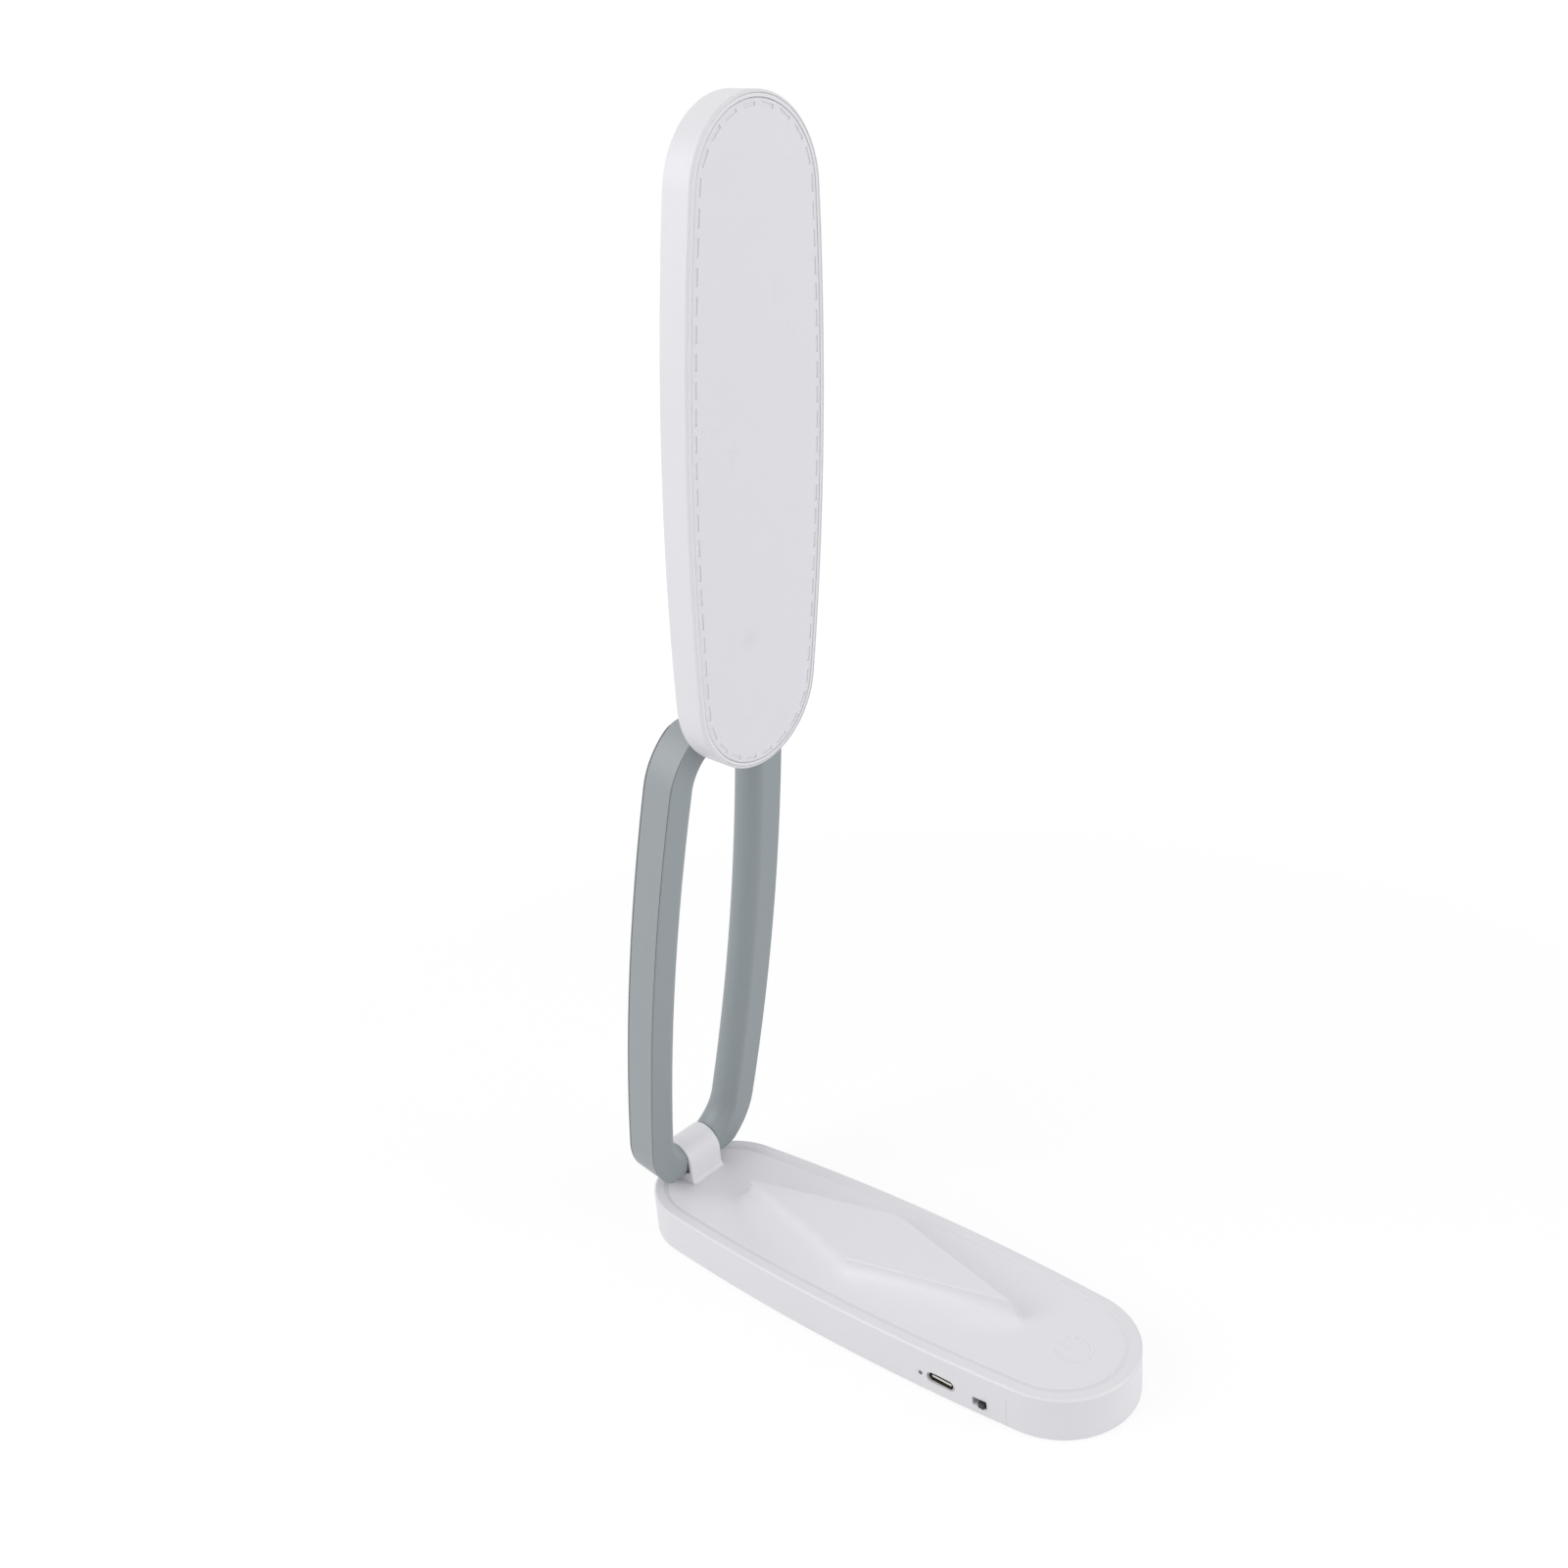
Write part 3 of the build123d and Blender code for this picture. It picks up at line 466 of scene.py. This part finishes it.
cheeks = bmesh.new()
hollow_turn = math.acos((hinge_place.z - panel_top - cheek_rise) / cheek_hollow)
cheek_corners = [
    (-cheek_reach, cheek_rise), (-cheek_reach, rim_rise), (rim_slope[0], rim_rise), (rim_slope[1], 0.0),
    (cheek_reach, 0.0), (cheek_reach, cheek_rise),
]
for hinge_side in (-1, 1):
    inner_y = hinge_side * cheek_sides[0]
    hollow_start = (
        hinge_place.x + cheek_hollow * math.sin(hollow_turn), inner_y,
        hinge_place.z - cheek_hollow * math.cos(hollow_turn),
    )
    first = cheeks.verts.new(hollow_start)
    bmesh.ops.spin(
        cheeks, geom=[first], cent=hinge_place, axis=(0, 1, 0), angle=2 * hollow_turn, steps=cheek_steps
    )
    hollow = sorted((corner for corner in cheeks.verts if corner.is_wire), key=lambda corner: corner.co.x)
    border = []
    for along, rise in cheek_corners:
        border.append(cheeks.verts.new((hinge_place.x + along, inner_y, panel_top + rise)))
    chain = [hollow[0]] + border + [hollow[-1]]
    for pair in zip(chain, chain[1:]):
        cheeks.edges.new(pair)
    cheek_outline = [edge for edge in cheeks.edges if edge.is_wire]
    bmesh.ops.contextual_create(cheeks, geom=cheek_outline)
    inner_face = [
        face for face in cheeks.faces if abs(face.calc_center_median().y - inner_y) < same_place
    ]
    push_faces(cheeks, inner_face, (0, hinge_side * (cheek_sides[1] - cheek_sides[0]), 0))
add_piece("saddle_cheeks", cheeks, panel_finish, "base")


# ---------------------------------------------------------------- grey arm
# The loop is moulded in soft grey ABS, matt all round. Two strips of a lighter grey
# snap into its outer face over the wire duct, and a dark two-core lead lies in it.
arm_grey = (0.293, 0.330, 0.346)
band_grey = (0.338, 0.366, 0.384)
# The strips get painted shade along their edges, in the narrow gaps to the loop
strip_finish = moulded(
    "grey_arm_strip", band_grey, roughness=0.44, grain=0.000005, mottle=0.03, edge=0.0001, joint=2.8
)
dress("arm_frame", moulded("grey_arm_moulding", arm_grey, roughness=0.46, grain=0.000005, mottle=0.03))
dress("arm_side_bands", strip_finish)
dress("arm_lead", moulded("grey_lead_sheath", (0.05, 0.05, 0.055), roughness=0.55, grain=0.000004))


# ---------------------------------------------------------------- light panel
# The lit face is milk-white acrylic, smoother than the shell. Behind it sit the light
# guide in its white holder, the reflector, and the chips that show as a line of dashes.
# Painted shade of a boss behind the lit face: how far along and to the side, how wide, how dark
boss_along = 0.0370
boss_side = -0.0041
boss_radius = 0.0045
boss_darkness = 0.05


def boss_shadow(pen, place):
    """Painted shade on the lit face, faint and round, where a boss of the tray stands close behind it."""
    low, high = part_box("diffuser_panel")
    lean = math.atan2(high[0] - low[0], high[2] - low[2])
    spot = (low[0] + boss_along * math.sin(lean), boss_side, low[2] + boss_along * math.cos(lean))
    away = pen.node("ShaderNodeVectorMath", {"operation": "DISTANCE"}, {0: place, 1: spot}, output="Value")
    shade = pen.node(
        "ShaderNodeMapRange", {"interpolation_type": "SMOOTHSTEP"},
        {"Value": away, "From Min": boss_radius, "From Max": 0.0, "To Min": 0.0, "To Max": boss_darkness},
    )
    return shade, 0.0


milk_white = (0.806, 0.796, 0.836)
# The lit face carries the boss's painted shade
milk_acrylic = moulded(
    "milk_acrylic", milk_white, roughness=0.30, grain=0.000001, mottle=0.006, coat=0.15,
    edge=0.00004, milk=0.8, marks_and_shade=boss_shadow,
)
dress("diffuser_panel", milk_acrylic)
dress("led_chips", moulded("yellow_led_package", (0.85, 0.80, 0.52), roughness=0.35, grain=0.000001))
reflector_film = moulded("white_reflector_film", (0.86, 0.86, 0.87), roughness=0.25, grain=0.000001)
dress("reflector_sheet", reflector_film)
dress("guide_holder", moulded("white_holder", (0.78, 0.78, 0.79), roughness=0.5, grain=0.000004))


# ---------------------------------------------------------------- clear pieces
# The light guide is a polished sheet of clear acrylic. The rod that brings the
# charge light to the side wall is moulded in the same, and looks a little duller.
swirl_sheen = 0.06


def clear_acrylic(name, color, roughness):
    """Clear acrylic with faint swirls in its gloss."""
    finish, pen = blank_finish(name)
    place = pen.node("ShaderNodeTexCoord", output="Object")
    swirl = pen.node("ShaderNodeTexNoise", inputs={"Vector": place, "Scale": 220.0, "Detail": 2.0})
    look = pen.node(
        "ShaderNodeBsdfPrincipled",
        inputs={
            "Base Color": color, "Roughness": roughness + (swirl - 0.5) * swirl_sheen,
            "IOR": 1.49, "Transmission Weight": 0.85,
        },
    )
    pen.node("ShaderNodeOutputMaterial", inputs={"Surface": look})
    return finish


dress("light_guide", clear_acrylic("clear_guide_acrylic", (0.95, 0.97, 0.98, 1), roughness=0.08))
dress("charge_light_pipe", clear_acrylic("clear_rod_acrylic", (0.72, 0.74, 0.76, 1), roughness=0.18))


# ---------------------------------------------------------------- metal pieces
# Socket shell in nickel-plated sheet, spring strips in blued spring steel, screws in
# zinc-plated steel, the ballast plate in plain rolled steel, and the touch key's
# electrode in copper.
rolling_depth = 0.000003
rolling_sheen = 0.18


def metal(name, color, roughness, brush_scale):
    """Sheet or drawn metal with fine rolling lines in its roughness and its relief."""
    finish, pen = blank_finish(name)
    place = pen.node("ShaderNodeTexCoord", output="Object")
    lines = pen.node("ShaderNodeMapping", inputs={"Vector": place, "Scale": brush_scale})
    grain = pen.node("ShaderNodeTexNoise", inputs={"Vector": lines, "Scale": 900.0, "Detail": 3.0})
    relief = pen.node(
        "ShaderNodeBump", inputs={"Height": grain * rolling_depth, "Strength": 1.0, "Distance": 1.0}
    )
    look = pen.node(
        "ShaderNodeBsdfPrincipled",
        inputs={
            "Base Color": (*color, 1), "Metallic": 1.0,
            "Roughness": roughness + (grain - 0.5) * rolling_sheen, "Normal": relief,
        },
    )
    pen.node("ShaderNodeOutputMaterial", inputs={"Surface": look})
    return finish


nickel_sheet = metal("nickel_plated_sheet", (0.66, 0.64, 0.62), roughness=0.30, brush_scale=(1, 0.15, 1))
dress("usb_c_socket", nickel_sheet)
spring_steel = metal("spring_steel", (0.42, 0.43, 0.46), roughness=0.34, brush_scale=(1, 0.1, 1))
zinc_steel = metal("zinc_plated_steel", (0.62, 0.63, 0.66), roughness=0.28, brush_scale=(1, 1, 0.2))
dress("base_friction_clip", spring_steel)
dress("head_friction_clip", spring_steel)
for node in ("base_clip_screw", "head_clip_screw"):
    dress(node, zinc_steel)
rolled_steel = metal("rolled_steel_plate", (0.40, 0.40, 0.41), roughness=0.45, brush_scale=(0.1, 1, 1))
dress("ballast_plate", rolled_steel)
copper = metal("copper_electrode", (0.80, 0.48, 0.33), roughness=0.32, brush_scale=(1, 1, 1))
dress("touch_sensor_pad", copper)


# ---------------------------------------------------------------- board, battery and switch
# The green board carries the socket and the switch, and the chips sit on a white
# strip. The pouch cell is in foil, and the switch is black nylon.
solder_mask = moulded(
    "green_circuit_board", (0.03, 0.16, 0.07), roughness=0.35, grain=0.000002, mottle=0.1
)
dress("control_board", solder_mask)
dress("led_strip", moulded("white_flex_circuit", (0.82, 0.82, 0.80), roughness=0.4, grain=0.000002))
dress("battery_pack", metal("pouch_foil", (0.70, 0.71, 0.73), roughness=0.38, brush_scale=(1, 1, 1)))
black_nylon = moulded(
    "black_nylon", (0.018, 0.018, 0.021), roughness=0.42, grain=0.000004, mottle=0.05, edge=0.0001
)
dress("slide_switch_body", black_nylon)
dress("slide_switch_knob", black_nylon)


# ---------------------------------------------------------------- cover screws
# Four self-tapping screws in zinc-plated steel hold the bottom cover to the posts of
# the top panel. Each has a pan head with a cross recess, sunk in a well of the cover.
cover_screw_places = [(-0.0575, 0.0145), (-0.0575, -0.0145), (0.0660, 0.0120), (0.0660, -0.0120)]
pan_radius = 0.0019
pan_flat = 0.0013
pan_height = 0.0009
shank_radius = 0.0010
thread_pitch = 0.0007
thread_depth = 0.0002
recess_half_width = 0.00028
recess_half_length = 0.0010
recess_depth = 0.00055
dome_steps = 4
screw_steps = 36
cut_slack = 0.00000001


def screw_profile(seat, tip):
    """Half profile of a screw with its head down: a domed head, ridges of thread and a blunt tip."""
    dome = []
    for step in range(dome_steps + 1):
        turn = math.pi / 2 * step / dome_steps
        out = pan_flat + (pan_radius - pan_flat) * math.sin(turn)
        dome.append((out, seat - pan_height * math.cos(turn)))
    thread = []
    height = seat + thread_pitch
    while height < tip - thread_pitch:
        thread += [(shank_radius - thread_depth, height - thread_pitch / 3), (shank_radius, height)]
        height += thread_pitch
    return [(0, seat - pan_height)] + dome + [(shank_radius - thread_depth, seat)] + thread + [(0, tip)]


def cross_recess(mesh, place, head_low):
    """Sink a cross into the flat of a screw's head."""
    middle = Vector(place)
    top = head_low + same_place
    flat = [face for face in mesh.faces if all(corner.co.z < top for corner in face.verts)]
    flat = [face for face in flat if (face.calc_center_median().xy - middle).length < pan_flat]
    disc = bmesh.ops.dissolve_faces(mesh, faces=flat, use_verts=True)["region"]
    for axis in (Vector((1, 0, 0)), Vector((0, 1, 0))):
        for offset in (-recess_half_length, -recess_half_width, recess_half_width, recess_half_length):
            cut_place = middle.to_3d() + axis * offset
            pieces = dict.fromkeys(piece for face in disc for piece in (face, *face.edges, *face.verts))
            cut = bmesh.ops.bisect_plane(
                mesh, geom=list(pieces), plane_co=cut_place, plane_no=axis, dist=cut_slack
            )
            disc = [item for item in cut["geom"] if isinstance(item, bmesh.types.BMFace)]
    cross = []
    for face in disc:
        off = face.calc_center_median().xy - middle
        across, along = sorted((abs(off.x), abs(off.y)))
        if across < recess_half_width and along < recess_half_length:
            cross.append(face)
    push_faces(mesh, cross, (0, 0, recess_depth))
    bmesh.ops.delete(mesh, geom=cross, context="FACES_ONLY")


screws = bmesh.new()
screw_low, screw_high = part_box("base_screws")
screw_seat = screw_low[2] + pan_height
screw_outline = screw_profile(screw_seat, screw_high[2])
for screw_x, screw_y in cover_screw_places:
    half_section = [screws.verts.new((screw_x + out, screw_y, height)) for out, height in screw_outline]
    half_section += [screws.edges.new(pair) for pair in zip(half_section, half_section[1:])]
    bmesh.ops.spin(
        screws, geom=half_section, cent=(screw_x, screw_y, 0), axis=(0, 0, 1), angle=2 * math.pi,
        steps=screw_steps, use_merge=True,
    )
    bmesh.ops.remove_doubles(screws, verts=screws.verts, dist=same_place)
    cross_recess(screws, (screw_x, screw_y), screw_low[2])
add_piece("cover_screws", screws, zinc_steel, "base", "base_screws")


# ---------------------------------------------------------------- rubber feet
# Four round pads of soft grey rubber, die-cut with a rounded rim and glued into
# recesses of the bottom cover.
pad_radius = 0.0040
pad_spread = 0.0085
pad_rim = 0.00035
pad_steps = 48
grey_rubber = moulded("grey_rubber", (0.48, 0.48, 0.50), roughness=0.8, grain=0.00001, mottle=0.08)
pads = bmesh.new()
pad_low, pad_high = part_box("rubber_feet")
pad_middle_z = (pad_low[2] + pad_high[2]) / 2
for pad_x in (pad_low[0] + pad_radius, pad_high[0] - pad_radius):
    for pad_y in (-pad_spread, pad_spread):
        bmesh.ops.create_cone(
            pads, cap_ends=True, segments=pad_steps, radius1=pad_radius, radius2=pad_radius,
            depth=pad_high[2] - pad_low[2], matrix=Matrix.Translation((pad_x, pad_y, pad_middle_z)),
        )
lower_rims = [edge for edge in pads.edges if all(corner.co.z < pad_middle_z for corner in edge.verts)]
bmesh.ops.bevel(
    pads, geom=lower_rims, offset=pad_rim, affect="EDGES", segments=3, profile=0.5, material=-1
)
add_piece("glued_feet", pads, grey_rubber, "base", "rubber_feet")


# ---------------------------------------------------------------- socket contacts
# The socket's tongue carries a row of gold-plated contact strips on each face,
# pressed flat into its plastic.
contact_count = 12
contact_pitch = 0.0005
contact_size = (0.00026, 0.0042, 0.00006)
tongue_half = 0.00035
contact_inset = 0.0012
contact_edge = 0.00002
contacts = bmesh.new()
socket_low, socket_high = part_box("usb_c_socket")
socket_middle = [(lower + upper) / 2 for lower, upper in zip(socket_low, socket_high)]
contact_y = socket_low[1] + contact_inset + contact_size[1] / 2
for index in range(contact_count):
    contact_x = socket_middle[0] + (index - (contact_count - 1) / 2) * contact_pitch
    for tongue_side in (-1, 1):
        contact_z = socket_middle[2] + tongue_side * tongue_half
        contact_place = Matrix.Translation((contact_x, contact_y, contact_z))
        bmesh.ops.create_cube(contacts, size=1, matrix=contact_place @ Matrix.Diagonal((*contact_size, 1)))
bmesh.ops.bevel(
    contacts, geom=list(contacts.edges), offset=contact_edge, affect="EDGES", segments=2, profile=0.5,
    material=-1,
)
gold_plate = metal("gold_plated_contact", (0.86, 0.66, 0.34), roughness=0.22, brush_scale=(1, 0.2, 1))
add_piece("socket_contacts", contacts, gold_plate, "base")
